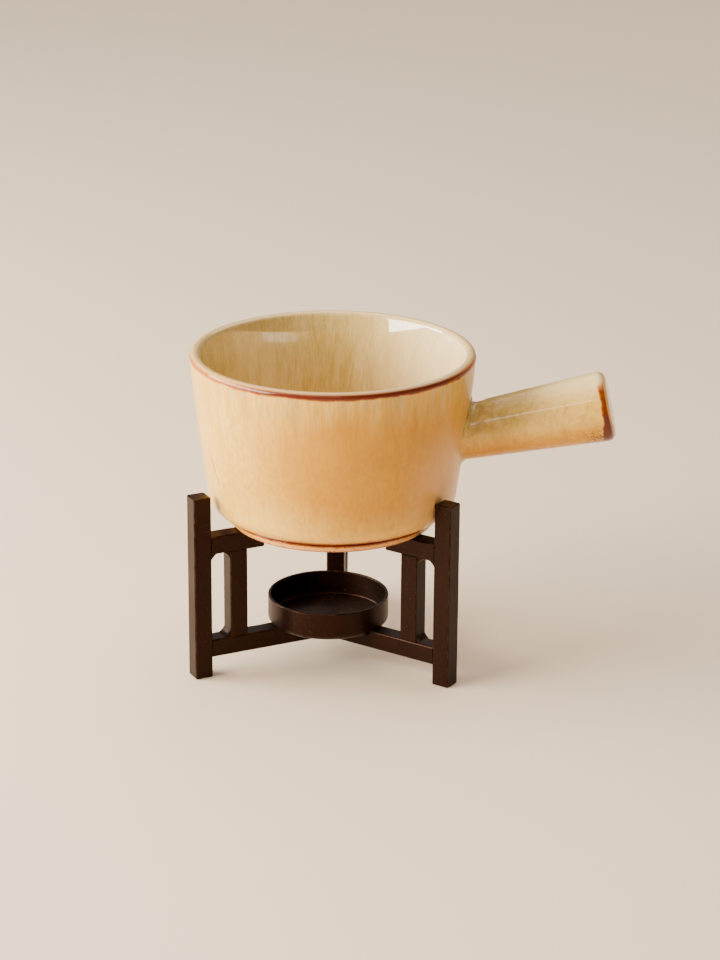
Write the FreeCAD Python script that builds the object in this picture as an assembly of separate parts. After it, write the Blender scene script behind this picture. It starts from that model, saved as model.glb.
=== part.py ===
import FreeCAD, Part
import math
import os

# A fondue set in two loose pieces: a stoneware pot with a stub handle, and a stand welded from
# square bar that holds the pot over a small dish for a tealight.
#
# Millimetres, +Z up. The origin is on the floor, on the stand's axis. The back leg stands on +Y,
# the left and right legs follow at thirds of a turn, and the pot's handle points along +X.

V = FreeCAD.Vector
UP = V(0, 0, 1)
ORIGIN = V(0, 0, 0)

# ---- Pot. Heights are above the seat, where the foot ring rests on the stand ----
rim_radius = 61.0          # outside of the rim, before its edge is rounded
bowl_height = 75.0         # foot to rim
wall = 5.8
rim_wall = 4.7             # the wall thins towards the rim, from the inside
rim_taper = 11.0           # over this height
taper_reach = 3.4          # the inside bends this far below and above the taper's start
rim_round = min(2.2, 0.48 * rim_wall)
wall_lean = 8.5            # how much wider the rim is than the belly, in radius
belly_height = 6.0         # corner of wall and underside, before it is rounded
shoulder_drop = 29.0       # below the rim, where the wall's slope turns steeper
shoulder_swell = 0.65      # how far the shoulder stands out from a straight wall
shoulder_reach = 14.0      # the wall bends this far below and above the shoulder
foot_step = 8.3            # how far the foot ring stands back from the belly
foot_height = 3.4
foot_width = 5.2
foot_recess = 2.2          # hollow of the underside within the foot ring
foot_round = 0.8
foot_flare = 0.4
belly_round = min(10.2, 1.4 * (foot_step - 2 * foot_flare))
groove_depth = 0.7         # turned groove between foot ring and body
groove_width = 0.8
floor_height = 7.4         # inside floor of the bowl
floor_round = 14.0

# ---- Handle. A hollow cone that widens outwards; lengths run along its own tilted axis ----
handle_height = 27.2       # its axis crosses the pot's axis here
handle_tilt = 12.8         # degrees above level
handle_length = 65.5       # from the bowl's wall to the end face
handle_root_radius = 11.65 # at the bowl's wall
handle_end_radius = 15.1
handle_wall = 5.2
handle_end_wall = 6.2
handle_end_round = 3.4
vent_radius = 2.0          # lets air out of the hollow while the clay is fired
vent_distance = 21.0       # from the bowl's wall

# ---- Stand ----
bar = 8.0                  # square bar
bar_round = 0.7            # worn edges of the bar
post_rise = 18.1           # outer posts stand this far above the pot's seat
seat_height = 64.3         # top of the upper arms
arm_height = 9.2           # underside of the lower arms above the floor
window_width = 8.6         # gap between outer and inner post
arm_reach = 7.0            # the upper arms run on this far inside the foot ring
weld_leg = 2.8             # filled corners of each window
weld_hollow = 0.33         # how far the weld's face dips, as a share of its leg

# ---- Tealight dish, a pressed steel cup on the crossing of the lower arms ----
dish_radius = 26.3
dish_wall = 1.3
dish_depth = 12.0
dish_round = 2.2           # outside of its bottom corner
dish_lip_round = 0.5
dish_sink = 1.0            # the dish is let into the lower arms this far
tack_leg = 2.2             # weld tacks under the dish, on one side of each arm
tack_length = 5.0
tack_swell = 0.62          # how far the tack's face swells, as a share of its leg

# ---- How the pot stands in the stand ----
seat_play = 2.45           # room all round the pot between the posts
seat_gap = 0.45            # room left at the right post, towards which the pot has slid
leg_turns = {"back": 90.0, "left": 210.0, "right": 330.0}
pot_slides_to = "right"


# ---- Helpers ----
def rounded_face(corners):
    """Face in the XZ plane. Each corner is (x, z, rounding radius); radius 0 leaves it sharp."""
    points = [V(x, 0, z) for x, z, _ in corners]
    count = len(points)
    bends = []
    for i, (_, _, radius) in enumerate(corners):
        here = points[i]
        if radius == 0:
            bends.append((here, here, here))
            continue
        back = (points[i - 1] - here).normalize()
        ahead = (points[(i + 1) % count] - here).normalize()
        half = back.getAngle(ahead) / 2
        reach = radius / math.tan(half)
        inward = (back + ahead).normalize()
        middle = here + inward * (radius / math.sin(half) - radius)
        bends.append((here + back * reach, middle, here + ahead * reach))
    edges = []
    for i, (start, middle, end) in enumerate(bends):
        if (end - start).Length > 1e-6:
            edges.append(Part.Arc(start, middle, end).toShape())
        onward = bends[(i + 1) % count][0]
        if (onward - end).Length > 1e-6:
            edges.append(Part.LineSegment(end, onward).toShape())
    return Part.Face(Part.Wire(edges))


def turned(corners, degrees=360):
    """Solid of revolution about Z from a rounded outline."""
    solid = rounded_face(corners).revolve(ORIGIN, UP, degrees)
    solid.rotate(ORIGIN, UP, -degrees / 2)
    return solid


def block(x0, x1, z0, z1):
    """Square bar stock between two radii and two heights, centred on the leg's plane."""
    return Part.makeBox(x1 - x0, bar, z1 - z0, V(x0, -bar / 2, z0))


def edges_along(shape, direction):
    return [e for e in shape.Edges if abs(e.tangentAt(e.FirstParameter).dot(direction)) > 0.999]


def save(name, shape):
    shape.exportStep(f"parts/{name}.step")
    print(f"{name}: {len(shape.Solids)} solid(s), {shape.Volume / 1000:.2f} cm3")


# ---- Pot ----
belly_radius = rim_radius - wall_lean
foot_radius = belly_radius - foot_step
shoulder_height = bowl_height - shoulder_drop
taper_height = bowl_height - rim_taper
shoulder_share = (shoulder_height - belly_height) / (bowl_height - belly_height)
shoulder_radius = belly_radius + shoulder_share * wall_lean + shoulder_swell


# The wall's lower slope, as a straight line, gives its radius at any height below the shoulder,
# so the posts can be set round it.
def lower_wall_radius(height):
    share = (height - belly_height) / (shoulder_height - belly_height)
    return belly_radius + share * (shoulder_radius - belly_radius)


def upper_wall_radius(height):
    share = (height - shoulder_height) / shoulder_drop
    return shoulder_radius + share * (rim_radius - shoulder_radius)


def sweep_round(below, corner, above, reach):
    """Radius of the sweep that joins two slopes and bends over a reach each side of the corner."""
    lower = math.atan2(corner[0] - below[0], corner[1] - below[1])
    upper = math.atan2(above[0] - corner[0], above[1] - corner[1])
    return reach / math.tan(abs(lower - upper) / 2)


belly = (belly_radius, belly_height)
shoulder = (shoulder_radius, shoulder_height)
rim = (rim_radius, bowl_height)
inner_rim = (rim_radius - rim_wall, bowl_height)
inner_taper = (upper_wall_radius(taper_height) - wall, taper_height)
inner_shoulder = (shoulder_radius - wall, shoulder_height)
shoulder_round = sweep_round(belly, shoulder, rim, shoulder_reach)
taper_round = sweep_round(inner_shoulder, inner_taper, inner_rim, taper_reach)

bowl_outside = [
    (foot_radius, 0, foot_round),
    (foot_radius + foot_flare, foot_height - groove_width / 2, 0),
    (foot_radius + foot_flare - groove_depth, foot_height, 0),
    (foot_radius + 2 * foot_flare, foot_height + groove_width / 2, 0),
    (*belly, belly_round),
    (*shoulder, shoulder_round),
    (*rim, rim_round),
]
bowl_inside = [
    (*inner_rim, rim_round),
    (*inner_taper, taper_round),
    (*inner_shoulder, shoulder_round),
    (lower_wall_radius(floor_height) - wall, floor_height, floor_round),
    (0, floor_height, 0),
]
bowl_underside = [
    (0, foot_recess, 0),
    (foot_radius - foot_width, foot_recess, foot_round),
    (foot_radius - foot_width, 0, foot_round),
]


def make_bowl():
    return turned(bowl_outside + bowl_inside + bowl_underside)


def make_bowl_core():
    """The bowl's outer shape, filled to its rim: what the handle's root is cut to."""
    return turned(bowl_outside + [(0, bowl_height, 0), (0, 0, 0)])


wall_at_handle = lower_wall_radius(handle_height)
handle_end = wall_at_handle + handle_length
handle_start = wall_at_handle - handle_root_radius     # well inside the wall, then cut back to it


def handle_cone(inset, end, end_round):
    """Cone about the handle's own axis, inset from the handle's outside."""
    widening = (handle_end_radius - handle_root_radius) / handle_length
    start_radius = handle_root_radius - widening * handle_root_radius - inset
    end_radius = handle_end_radius - widening * (handle_end - end) - inset
    return turned([
        (0, handle_start, 0),
        (start_radius, handle_start, 0),
        (end_radius, end, end_round),
        (0, end, 0),
    ])


def make_handle():
    handle = handle_cone(0, handle_end, handle_end_round)
    handle = handle.cut(handle_cone(handle_wall, handle_end - handle_end_wall, handle_end_round))
    handle.rotate(ORIGIN, V(0, 1, 0), 90 - handle_tilt)
    handle.translate(V(0, 0, handle_height))
    tilt = math.radians(handle_tilt)
    out = wall_at_handle + vent_distance
    vent_top = V(out * math.cos(tilt), 0, handle_height + out * math.sin(tilt))
    vent = Part.makeCylinder(vent_radius, 2 * handle_end_radius, vent_top, -UP)
    return handle.cut(vent).cut(make_bowl_core())


# ---- Stand ----
post_face = lower_wall_radius(post_rise) + seat_play   # radius of the outer posts' inner faces
post_height = seat_height + post_rise
inner_post_face = post_face - window_width             # radius of the inner posts' outer faces
arm_top = arm_height + bar                             # top of the lower arms
dish_base = arm_top - dish_sink
arm_end = foot_radius - foot_width - arm_reach         # free end of the upper arms


def make_outer_post():
    post = block(post_face, post_face + bar, 0, post_height)
    return post.makeFillet(bar_round, post.Edges)


def make_inner_post():
    post = block(inner_post_face - bar, inner_post_face, arm_top, seat_height - bar)
    return post.makeFillet(bar_round, edges_along(post, UP))


def make_upper_arm():
    arm = block(arm_end, post_face, seat_height - bar, seat_height)
    free_end = [e for e in arm.Edges if e.BoundBox.XMax < arm_end + 1e-6]
    return arm.makeFillet(bar_round, free_end + edges_along(arm, V(1, 0, 0)))


def make_lower_arm():
    """Runs from the post to the stand's axis, mitred there so that the three arms meet."""
    half = bar / 2
    mitre = half / math.tan(math.pi / len(leg_turns))
    outline = [(0, 0), (mitre, half), (post_face, half), (post_face, -half), (mitre, -half), (0, 0)]
    floor_plan = Part.makePolygon([V(x, y, arm_height) for x, y in outline])
    arm = Part.Face(floor_plan).extrude(UP * bar)
    arm = arm.makeFillet(bar_round, edges_along(arm, V(1, 0, 0)))
    return arm.cut(make_dish_core())


def weld(corner, leg_a, leg_b, depth, run):
    """Weld metal in a corner: its two legs, how deep its face lies between them, and its run."""
    outline = [
        Part.LineSegment(corner + leg_b, corner).toShape(),
        Part.LineSegment(corner, corner + leg_a).toShape(),
        Part.Arc(corner + leg_a, corner + (leg_a + leg_b) * depth, corner + leg_b).toShape(),
    ]
    return Part.Face(Part.Wire(outline)).extrude(run)


def corner_weld(x, z, x_way, z_way):
    """The weld in one corner of a leg's window, across the flat of the bar."""
    corner = V(x, bar_round - bar / 2, z)
    run = V(0, bar - 2 * bar_round, 0)
    return weld(corner, V(x_way * weld_leg, 0, 0), V(0, 0, z_way * weld_leg), weld_hollow, run)


def make_corner_welds():
    under_arm = seat_height - bar
    return Part.Compound([
        corner_weld(post_face, under_arm, -1, -1),
        corner_weld(inner_post_face, under_arm, 1, -1),
        corner_weld(inner_post_face, arm_top, 1, 1),
    ])


# ---- Tealight dish ----
dish_lip = dish_base + dish_depth


def make_dish():
    inside = dish_radius - dish_wall
    inner_round = dish_round - dish_wall
    return turned([
        (0, dish_base, 0),
        (dish_radius, dish_base, dish_round),
        (dish_radius, dish_lip, dish_lip_round),
        (inside, dish_lip, dish_lip_round),
        (inside, dish_base + dish_wall, inner_round),
        (0, dish_base + dish_wall, 0),
    ])


def make_dish_core():
    """The dish's outer shape, filled to its lip: what the arms are cut to."""
    return turned([
        (0, dish_base, 0),
        (dish_radius, dish_base, dish_round),
        (dish_radius, dish_lip, 0),
        (0, dish_lip, 0),
    ])


def make_dish_weld():
    """A tack between the side of a lower arm and the flat underside of the dish."""
    flat_end = dish_radius - dish_round
    corner = V(flat_end - tack_length, -bar / 2, dish_base)
    return weld(corner, V(0, -tack_leg, 0), V(0, 0, -tack_leg), tack_swell, V(tack_length, 0, 0))


# ---- The set, put together ----
def on_leg(shape, turn):
    placed = shape.copy()
    placed.rotate(ORIGIN, UP, turn)
    return placed


def in_seat(shape):
    """Stand the pot on the upper arms, slid sideways as far as the play lets it."""
    slide = math.radians(leg_turns[pot_slides_to])
    shift = seat_play - seat_gap
    placed = shape.copy()
    placed.translate(V(shift * math.cos(slide), shift * math.sin(slide), seat_height))
    return placed


os.makedirs("parts", exist_ok=True)

leg_parts = {
    "outer_post": make_outer_post(),
    "inner_post": make_inner_post(),
    "upper_arm": make_upper_arm(),
    "lower_arm": make_lower_arm(),
    "corner_welds": make_corner_welds(),
}
for side, turn in leg_turns.items():
    for name, shape in leg_parts.items():
        save(f"{name}_{side}", on_leg(shape, turn))

save("tealight_dish", make_dish())
save("dish_welds", Part.Compound([on_leg(make_dish_weld(), turn) for turn in leg_turns.values()]))
save("pot_bowl", in_seat(make_bowl()))
save("pot_handle", in_seat(make_handle()))
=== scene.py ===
# %% [markdown]
# # A small stoneware fondue pot on a welded stand
# The lesson dresses a finished CAD assembly. The CAD part gives every place and size. Here the
# glazed pot, the pressed dish and the welds get smooth meshes of their own, the square bars keep
# their CAD shape, and every surface gets a finish made only of shader nodes.

# %% Load the frame
import math
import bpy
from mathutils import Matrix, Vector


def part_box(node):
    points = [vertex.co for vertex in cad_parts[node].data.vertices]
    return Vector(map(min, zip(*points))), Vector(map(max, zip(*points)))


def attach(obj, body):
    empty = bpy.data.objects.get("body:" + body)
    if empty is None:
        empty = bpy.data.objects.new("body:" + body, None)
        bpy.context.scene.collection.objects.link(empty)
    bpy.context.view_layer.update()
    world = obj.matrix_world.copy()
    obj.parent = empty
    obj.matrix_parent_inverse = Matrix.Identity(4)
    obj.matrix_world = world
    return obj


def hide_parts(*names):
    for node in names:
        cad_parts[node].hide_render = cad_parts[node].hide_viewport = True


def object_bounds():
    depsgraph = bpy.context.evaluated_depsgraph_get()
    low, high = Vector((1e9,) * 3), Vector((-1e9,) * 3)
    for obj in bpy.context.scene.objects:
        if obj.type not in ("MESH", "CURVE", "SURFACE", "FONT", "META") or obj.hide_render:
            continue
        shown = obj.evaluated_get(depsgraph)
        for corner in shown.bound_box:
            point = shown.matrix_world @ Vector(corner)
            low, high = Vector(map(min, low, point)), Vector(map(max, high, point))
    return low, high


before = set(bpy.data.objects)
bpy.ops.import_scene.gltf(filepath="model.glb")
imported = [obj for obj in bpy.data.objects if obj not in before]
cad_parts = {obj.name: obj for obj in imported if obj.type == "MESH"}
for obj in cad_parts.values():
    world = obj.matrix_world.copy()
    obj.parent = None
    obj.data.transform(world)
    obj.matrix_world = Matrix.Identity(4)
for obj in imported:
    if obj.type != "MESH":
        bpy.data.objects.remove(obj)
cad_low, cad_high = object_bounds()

from types import SimpleNamespace

import bmesh
import bpy
from mathutils import Matrix, Vector

MM = 0.001
cad_size = [round(v / MM, 1) for v in cad_high - cad_low]
print("CAD nodes:", len(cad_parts), "box in mm:", cad_size)

# %% [markdown]
# ## The camera
# The set stands on a table and is seen from a little above, through a long lens that keeps its
# posts nearly upright. A camera could be aimed by a constraint. Here its place is given in the
# frame of the part, and its direction as a heading, a pitch and a slight roll, because those can
# be read and corrected one at a time, like the dials of a tripod head.

# %% Camera
CAMERA_PLACE = Vector((92.066, -1157.567, 499.967)) * MM
HEADING = -0.067725      # radians clockwise from +Y
PITCH = 0.346741         # radians below the horizon
ROLL = 0.006956          # radians
FOCAL_LENGTH = 107.485   # mm
VIEW_END = 20            # metres


def tripod_head(heading, pitch, roll):
    """Rotation of a camera that looks along a heading, tipped down, then rolled."""
    turn = Matrix.Rotation(-heading, 4, "Z")
    tip = Matrix.Rotation(math.pi / 2 - pitch, 4, "X")
    return turn @ tip @ Matrix.Rotation(roll, 4, "Z")


camera = bpy.data.objects.new("camera", bpy.data.cameras.new("camera"))
bpy.context.collection.objects.link(camera)
camera.matrix_world = Matrix.Translation(CAMERA_PLACE) @ tripod_head(HEADING, PITCH, ROLL)
camera.data.lens = FOCAL_LENGTH
camera.data.clip_end = VIEW_END
bpy.context.scene.camera = camera
print("camera distance in mm:", round(CAMERA_PLACE.length / MM))

# %% [markdown]
# ## Helpers for shader nodes
# A finish is a small calculation over the surface. It could be wired up by hand in the shader
# editor. Written as code it can be read from top to bottom and used again. These helpers keep each
# line of it short: one adds any node and fills its sockets, the others are the nodes that are used
# most.


# %% Adding a node
def fill(tree, node, values):
    """Fill a node's sockets with numbers, or with links from other sockets. Gives its outputs."""
    for socket, value in values.items():
        if isinstance(value, bpy.types.NodeSocket):
            tree.links.new(value, node.inputs[socket])
        else:
            node.inputs[socket].default_value = value
    return node.outputs


def add(tree, kind, values=None, **settings):
    """Add a node, apply its settings and fill its sockets."""
    node = tree.nodes.new(kind)
    for name, setting in settings.items():
        setattr(node, name, setting)
    return fill(tree, node, values or {})


# %% Blends and noise
def blend(tree, amount, base, top):
    """Lay one colour over another by an amount from 0 to 1."""
    return add(tree, "ShaderNodeMix", {0: amount, 6: base, 7: top}, data_type="RGBA")[2]


def noise(tree, vector, scale, detail=3.0, roughness=0.5):
    values = {"Vector": vector, "Scale": scale, "Detail": detail, "Roughness": roughness}
    return add(tree, "ShaderNodeTexNoise", values)["Fac"]


# %% A new material
def new_material(name, **constants):
    """A material with one Principled shader. Constant numbers sit on the shader's own sockets."""
    material = bpy.data.materials.new(name)
    material.use_nodes = True
    tree = material.node_tree
    tree.nodes.clear()
    shader = tree.nodes.new("ShaderNodeBsdfPrincipled")
    for socket, value in constants.items():
        shader.inputs[socket.replace("_", " ")].default_value = value
    add(tree, "ShaderNodeOutputMaterial", {"Surface": shader.outputs[0]})
    return material, tree, shader


def object_place(tree):
    return add(tree, "ShaderNodeTexCoord")["Object"]


# %% [markdown]
# ## The floor and the world
# The set stands on plain pale paper that reaches far past it on all sides. A sweep that curves up
# behind the set could hide the horizon, but it would stand in the way of views from other sides,
# so the paper is flat and the world shows as a pale wall beyond it. The same world fills the
# shadows with dim warm light.

# %% Floor
FLOOR_SIZE = 24.0
FLOOR_SQUARES = 8
PAPER_DARK, PAPER_LIGHT = (0.90, 0.71, 0.52, 1), (0.94, 0.76, 0.57, 1)

shape = bmesh.new()
bmesh.ops.create_grid(
    shape, x_segments=FLOOR_SQUARES, y_segments=FLOOR_SQUARES, size=FLOOR_SIZE / 2,
)
floor_mesh = bpy.data.meshes.new("floor")
shape.to_mesh(floor_mesh)
shape.free()
floor = bpy.data.objects.new("floor", floor_mesh)
bpy.context.collection.objects.link(floor)

paper, tree, shader = new_material("floor_paper", Roughness=0.75, Specular_IOR_Level=0.25)
fibres = noise(tree, object_place(tree), scale=900.0, detail=4.0, roughness=0.6)
fill(tree, shader, {"Base Color": blend(tree, fibres, PAPER_DARK, PAPER_LIGHT)})
floor_mesh.materials.append(paper)
print("floor", FLOOR_SIZE, "m wide")

# %% World
FILL_TINT, FILL_STRENGTH = (1.0, 0.90, 0.78, 1), 0.24
WALL_TINT, WALL_STRENGTH = (0.86, 0.77, 0.68, 1), 0.75


def make_world():
    """A dim warm fill for every surface, behind which the camera itself sees a pale wall."""
    world = bpy.data.worlds.new("pale_room")
    world.use_nodes = True
    tree = world.node_tree
    tree.nodes.clear()
    light = add(tree, "ShaderNodeBackground", {"Color": FILL_TINT, "Strength": FILL_STRENGTH})[0]
    wall = add(tree, "ShaderNodeBackground", {"Color": WALL_TINT, "Strength": WALL_STRENGTH})[0]
    seen = add(tree, "ShaderNodeLightPath")["Is Camera Ray"]
    room = add(tree, "ShaderNodeMixShader", {0: seen, 1: light, 2: wall})[0]
    add(tree, "ShaderNodeOutputWorld", {"Surface": room})
    return world


bpy.context.scene.world = make_world()
print("world:", bpy.context.scene.world.name)

# %% [markdown]
# ## The lights
# One broad softbox stands at the left and low, so that it mirrors as a bright window in the glossy
# inside of the pot. A narrow strip in front draws a thin line along rim and handle. An area light
# overhead would fade towards the edges of the floor, so the light from above is a sun, made so
# wide that its shadows are as soft as a large softbox's.

# %% Lights
SOFTBOX_SIZE, SOFTBOX_POWER = (1.5, 0.62), 68
STRIP_SIZE, STRIP_POWER = (1.2, 0.05), 4.0
SKY_ANGLE, SKY_STRENGTH = math.radians(75), 2.1


def hang(name, kind, place, target, power, tint):
    """A lamp at a place, aimed at a target."""
    lamp = bpy.data.lights.new(name, kind)
    lamp.energy = power
    lamp.color = tint
    light = bpy.data.objects.new(name, lamp)
    light.location = place
    light.rotation_mode = "QUATERNION"
    light.rotation_quaternion = (Vector(target) - Vector(place)).to_track_quat("-Z", "Y")
    bpy.context.collection.objects.link(light)
    return lamp


def softbox(size, *lamp_values):
    lamp = hang(*lamp_values)
    lamp.shape = "RECTANGLE"
    lamp.size, lamp.size_y = size


softbox(
    SOFTBOX_SIZE, "left_softbox", "AREA", (-1.15, -0.25, 0.52), (0, 0, 0.08), SOFTBOX_POWER,
    (1, 0.94, 0.84),
)
sky = hang("overhead_sky", "SUN", (0.1, 0.6, 1.5), (0, 0, 0.05), SKY_STRENGTH, (1, 0.95, 0.88))
sky.angle = SKY_ANGLE
softbox(
    STRIP_SIZE, "front_strip", "AREA", (-0.30, -1.0, 1.0), (0.05, 0, 0.1), STRIP_POWER,
    (1, 0.97, 0.92),
)

# %% [markdown]
# ## Turned shapes
# A pot, a cup and a round handle are all turned: one outline goes round an axis. A Screw modifier
# could turn it too. Here the outline is a chain of vertices in a bmesh. Bevel rounds each corner
# of the chain by its own radius, and spin carries it all the way round. The rounding comes before
# the spin, so it costs one small operation per corner and not one per turned edge.

# %% Turning an outline
SEGMENTS_PER_RADIAN = 6


def chain(corners):
    """An open chain of (radius, height, rounding) corners, in mm, rounded one by one."""
    shape = bmesh.new()
    spots = [shape.verts.new((r * MM, 0, z * MM)) for r, z, _ in corners]
    for here, onward in zip(spots, spots[1:]):
        shape.edges.new((here, onward))
    for i in range(1, len(corners) - 1):
        rounding = corners[i][2] * MM
        if rounding == 0:
            continue
        back, here, ahead = (Vector((r, z)) * MM for r, z, _ in corners[i - 1 : i + 2])
        bend = (here - back).angle(ahead - here)
        bmesh.ops.bevel(
            shape, geom=[spots[i]], affect="VERTICES", offset=rounding * math.tan(bend / 2),
            segments=max(3, round(SEGMENTS_PER_RADIAN * bend)), profile=0.5, material=-1,
        )
    return shape


def spin_round(shape, steps):
    """Carry a chain round Z and close it where it meets the axis."""
    bmesh.ops.spin(
        shape, geom=shape.verts[:] + shape.edges[:], cent=(0, 0, 0), axis=(0, 0, 1),
        dvec=(0, 0, 0), angle=2 * math.pi, steps=steps, use_merge=True,
    )
    bmesh.ops.remove_doubles(shape, verts=shape.verts, dist=0.001 * MM)
    bmesh.ops.recalc_face_normals(shape, faces=shape.faces)


# %% Finishing a piece
def finished(shape, name, body, node, sharp_angle=50):
    """Turn a bmesh into a smooth-shaded piece that rides on a body in place of a CAD node."""
    mesh = bpy.data.meshes.new(name)
    shape.to_mesh(mesh)
    shape.free()
    mesh.shade_smooth()
    mesh.set_sharp_from_angle(angle=math.radians(sharp_angle))
    piece = bpy.data.objects.new(name, mesh)
    bpy.context.collection.objects.link(piece)
    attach(piece, body)
    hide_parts(node)
    print(f"{name}: {len(mesh.polygons)} faces, rides on {body}, stands for {node}")
    return piece


# %% [markdown]
# ## The pot's body
# The body is slip-cast stoneware: an even wall, a soft rim, a rounded belly and a foot ring with
# a turned groove over it. A lathe shape is one spin of its outline. Glaze fills every sharp corner
# a little, so the groove and the foot get small roundings here that the CAD part doesn't have.

# %% Body outline
bowl_low, bowl_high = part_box("pot_bowl")
SEAT = bowl_low[2] / MM
POT_AXIS = ((bowl_low[0] + bowl_high[0]) / 2 / MM, (bowl_low[1] + bowl_high[1]) / 2 / MM)
BOWL_STEPS = 200

BELLY, SHOULDER, RIM = (52.5, 6.0), (58.1, 46.0), (60.98, 74.99)

# Radius, height above the seat and rounding of each corner, from the middle of the underside
# round the outside to the middle of the floor inside.
BODY_OUTLINE = [
    (0, 2.2, 0), (39.0, 2.2, 0.8),                              # recess within the foot ring
    (39.0, 0, 0.9), (44.2, 0, 0.9),                             # foot ring
    (44.6, 2.95, 0.25), (43.9, 3.4, 0.3), (45.0, 3.85, 0.3),    # turned groove
    (*BELLY, 9.6), (*SHOULDER, 760), (*RIM, 2.2),
    (56.3, 74.99, 2.2), (54.1, 64.0, 60), (52.3, 46.0, 760),    # inside of the wall
    (47.0, 7.4, 14), (0, 7.4, 0),                               # floor inside
]
print("pot axis at", [round(v, 2) for v in POT_AXIS], "seat at", round(SEAT, 2), "mm")


# %% Body
def seat_pot(shape):
    bmesh.ops.translate(shape, verts=shape.verts, vec=Vector((*POT_AXIS, SEAT)) * MM)


shape = chain(BODY_OUTLINE)
spin_round(shape, BOWL_STEPS)
seat_pot(shape)
pot_body = finished(shape, "pot_body", "pot", "pot_bowl")

# %% [markdown]
# ## The handle
# The handle is a cone that widens outwards, stuck to the wall while the clay was wet, so slip and
# glaze fill the corner round its root. A Boolean could join a cone to the body, but it would leave
# a sharp line there. So the cone is turned like the body, with a flare at its root, and then the
# root is fitted: every vertex slides along the handle's axis until its distance from the wall is
# what the outline says, which lays the flare onto the round wall.

# %% Handle outline
HANDLE_HEIGHT = 27.2
HANDLE_TILT = math.radians(12.8)
HANDLE_LENGTH = 65.4
HANDLE_STEPS = 96
ROOT_RADIUS, END_RADIUS, END_ROUND = 11.65, 15.1, 3.4
ROOT_FILLET, FILLET_STEPS = 2.6, 7
ROOT_SINK = 0.5                            # the root reaches this far into the wall
END_CROWN = 0.3                            # the end face swells this much
CONE_RINGS = (6.0, 10.0, 14.0, 30.0, 46.0)   # rings of vertices that let the cone bend


def cone_radius(along):
    """The handle's outside radius at a distance from the wall."""
    return ROOT_RADIUS + (END_RADIUS - ROOT_RADIUS) * along / HANDLE_LENGTH


def handle_outline():
    """(radius, distance from the wall, rounding) from the root's middle out to the end's."""
    corners = [(0, -ROOT_SINK, 0), (ROOT_RADIUS + ROOT_FILLET, -ROOT_SINK, 0)]
    for i in range(FILLET_STEPS + 1):
        angle = math.pi / 2 * (1 - i / FILLET_STEPS)
        out = ROOT_FILLET * (1 - math.cos(angle))
        along = ROOT_FILLET * (1 - math.sin(angle))
        corners.append((cone_radius(along) + out, along, 0))
    corners += [(cone_radius(along), along, 0) for along in CONE_RINGS]
    corners += [(END_RADIUS, HANDLE_LENGTH, END_ROUND), (0, HANDLE_LENGTH + END_CROWN, 0)]
    return corners


print("handle outline:", len(handle_outline()), "corners")

# %% Fitting the root to the wall
FIT_REACH = 14.0         # the fit fades out over this length
FIT_ROUNDS = 8


def wall_radius(height):
    """Outside radius of the body's lower wall, in mm, at a height above the seat."""
    share = (height - BELLY[1]) / (SHOULDER[1] - BELLY[1])
    return BELLY[0] + share * (SHOULDER[0] - BELLY[0])


WALL_AT_HANDLE = wall_radius(HANDLE_HEIGHT)


def on_tilted_axis(place, along):
    """A point of the upright handle, in mm, laid on the tilted axis at a distance along it."""
    tilted = Matrix.Rotation(math.pi / 2 - HANDLE_TILT, 4, "Y") @ Vector((place.x, place.y, along))
    return tilted + Vector((0, 0, HANDLE_HEIGHT))


def axis_distance_to_wall(place):
    """How far along the tilted axis the body's wall lies for a point beside the axis."""
    along = WALL_AT_HANDLE
    for _ in range(FIT_ROUNDS):
        spot = on_tilted_axis(place, along)
        along -= (math.hypot(spot.x, spot.y) - wall_radius(spot.z)) / math.cos(HANDLE_TILT)
    return along


def lay_handle(shape):
    """Fit the root to the wall and tilt the handle into place."""
    for vert in shape.verts:
        place = vert.co / MM
        near = min(1.0, max(0.0, 1 - (place.z - ROOT_FILLET) / FIT_REACH))
        near = near * near * (3 - 2 * near)
        start = WALL_AT_HANDLE + near * (axis_distance_to_wall(place) - WALL_AT_HANDLE)
        vert.co = on_tilted_axis(place, start + place.z) * MM


print("wall radius at the handle:", round(WALL_AT_HANDLE, 2), "mm")

# %% Handle
shape = chain(handle_outline())
spin_round(shape, HANDLE_STEPS)
lay_handle(shape)
seat_pot(shape)
bmesh.ops.recalc_face_normals(shape, faces=shape.faces)
pot_handle = finished(shape, "pot_handle_glazed", "pot", "pot_handle", 40)

# %% [markdown]
# ## The vent
# A hollow handle has a small hole underneath, which lets its air out in the kiln. Cutting the hole
# into the turned mesh by hand would mean new faces all round it. A Boolean modifier finds them,
# and its result replaces the handle's mesh.

# %% Vent
VENT_RADIUS, VENT_DISTANCE, VENT_DEPTH = 2.0, 21.0, 7.0
VENT_SEGMENTS = 32


def drill(piece, place, radius, depth):
    """Cut a round upright hole into a piece with a Boolean modifier, and apply it."""
    tool_shape = bmesh.new()
    bmesh.ops.create_cone(
        tool_shape, cap_ends=True, segments=VENT_SEGMENTS, radius1=radius * MM,
        radius2=radius * MM, depth=2 * depth * MM,
    )
    tool_mesh = bpy.data.meshes.new("drill")
    tool_shape.to_mesh(tool_mesh)
    tool_shape.free()
    tool = bpy.data.objects.new("drill", tool_mesh)
    bpy.context.collection.objects.link(tool)
    tool.location = place * MM
    tool.rotation_mode = "QUATERNION"
    tool.rotation_quaternion = Vector((0, 0, 1)).to_track_quat("Z", "Y")
    cut = piece.modifiers.new("vent", "BOOLEAN")
    cut.operation, cut.solver, cut.object = "DIFFERENCE", "EXACT", tool
    bpy.context.view_layer.update()
    evaluated = piece.evaluated_get(bpy.context.evaluated_depsgraph_get())
    drilled = bpy.data.meshes.new_from_object(evaluated)
    piece.modifiers.clear()
    piece.data = drilled
    bpy.data.objects.remove(tool)
    print(f"{piece.name}: drilled, {len(drilled.polygons)} faces")


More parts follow.
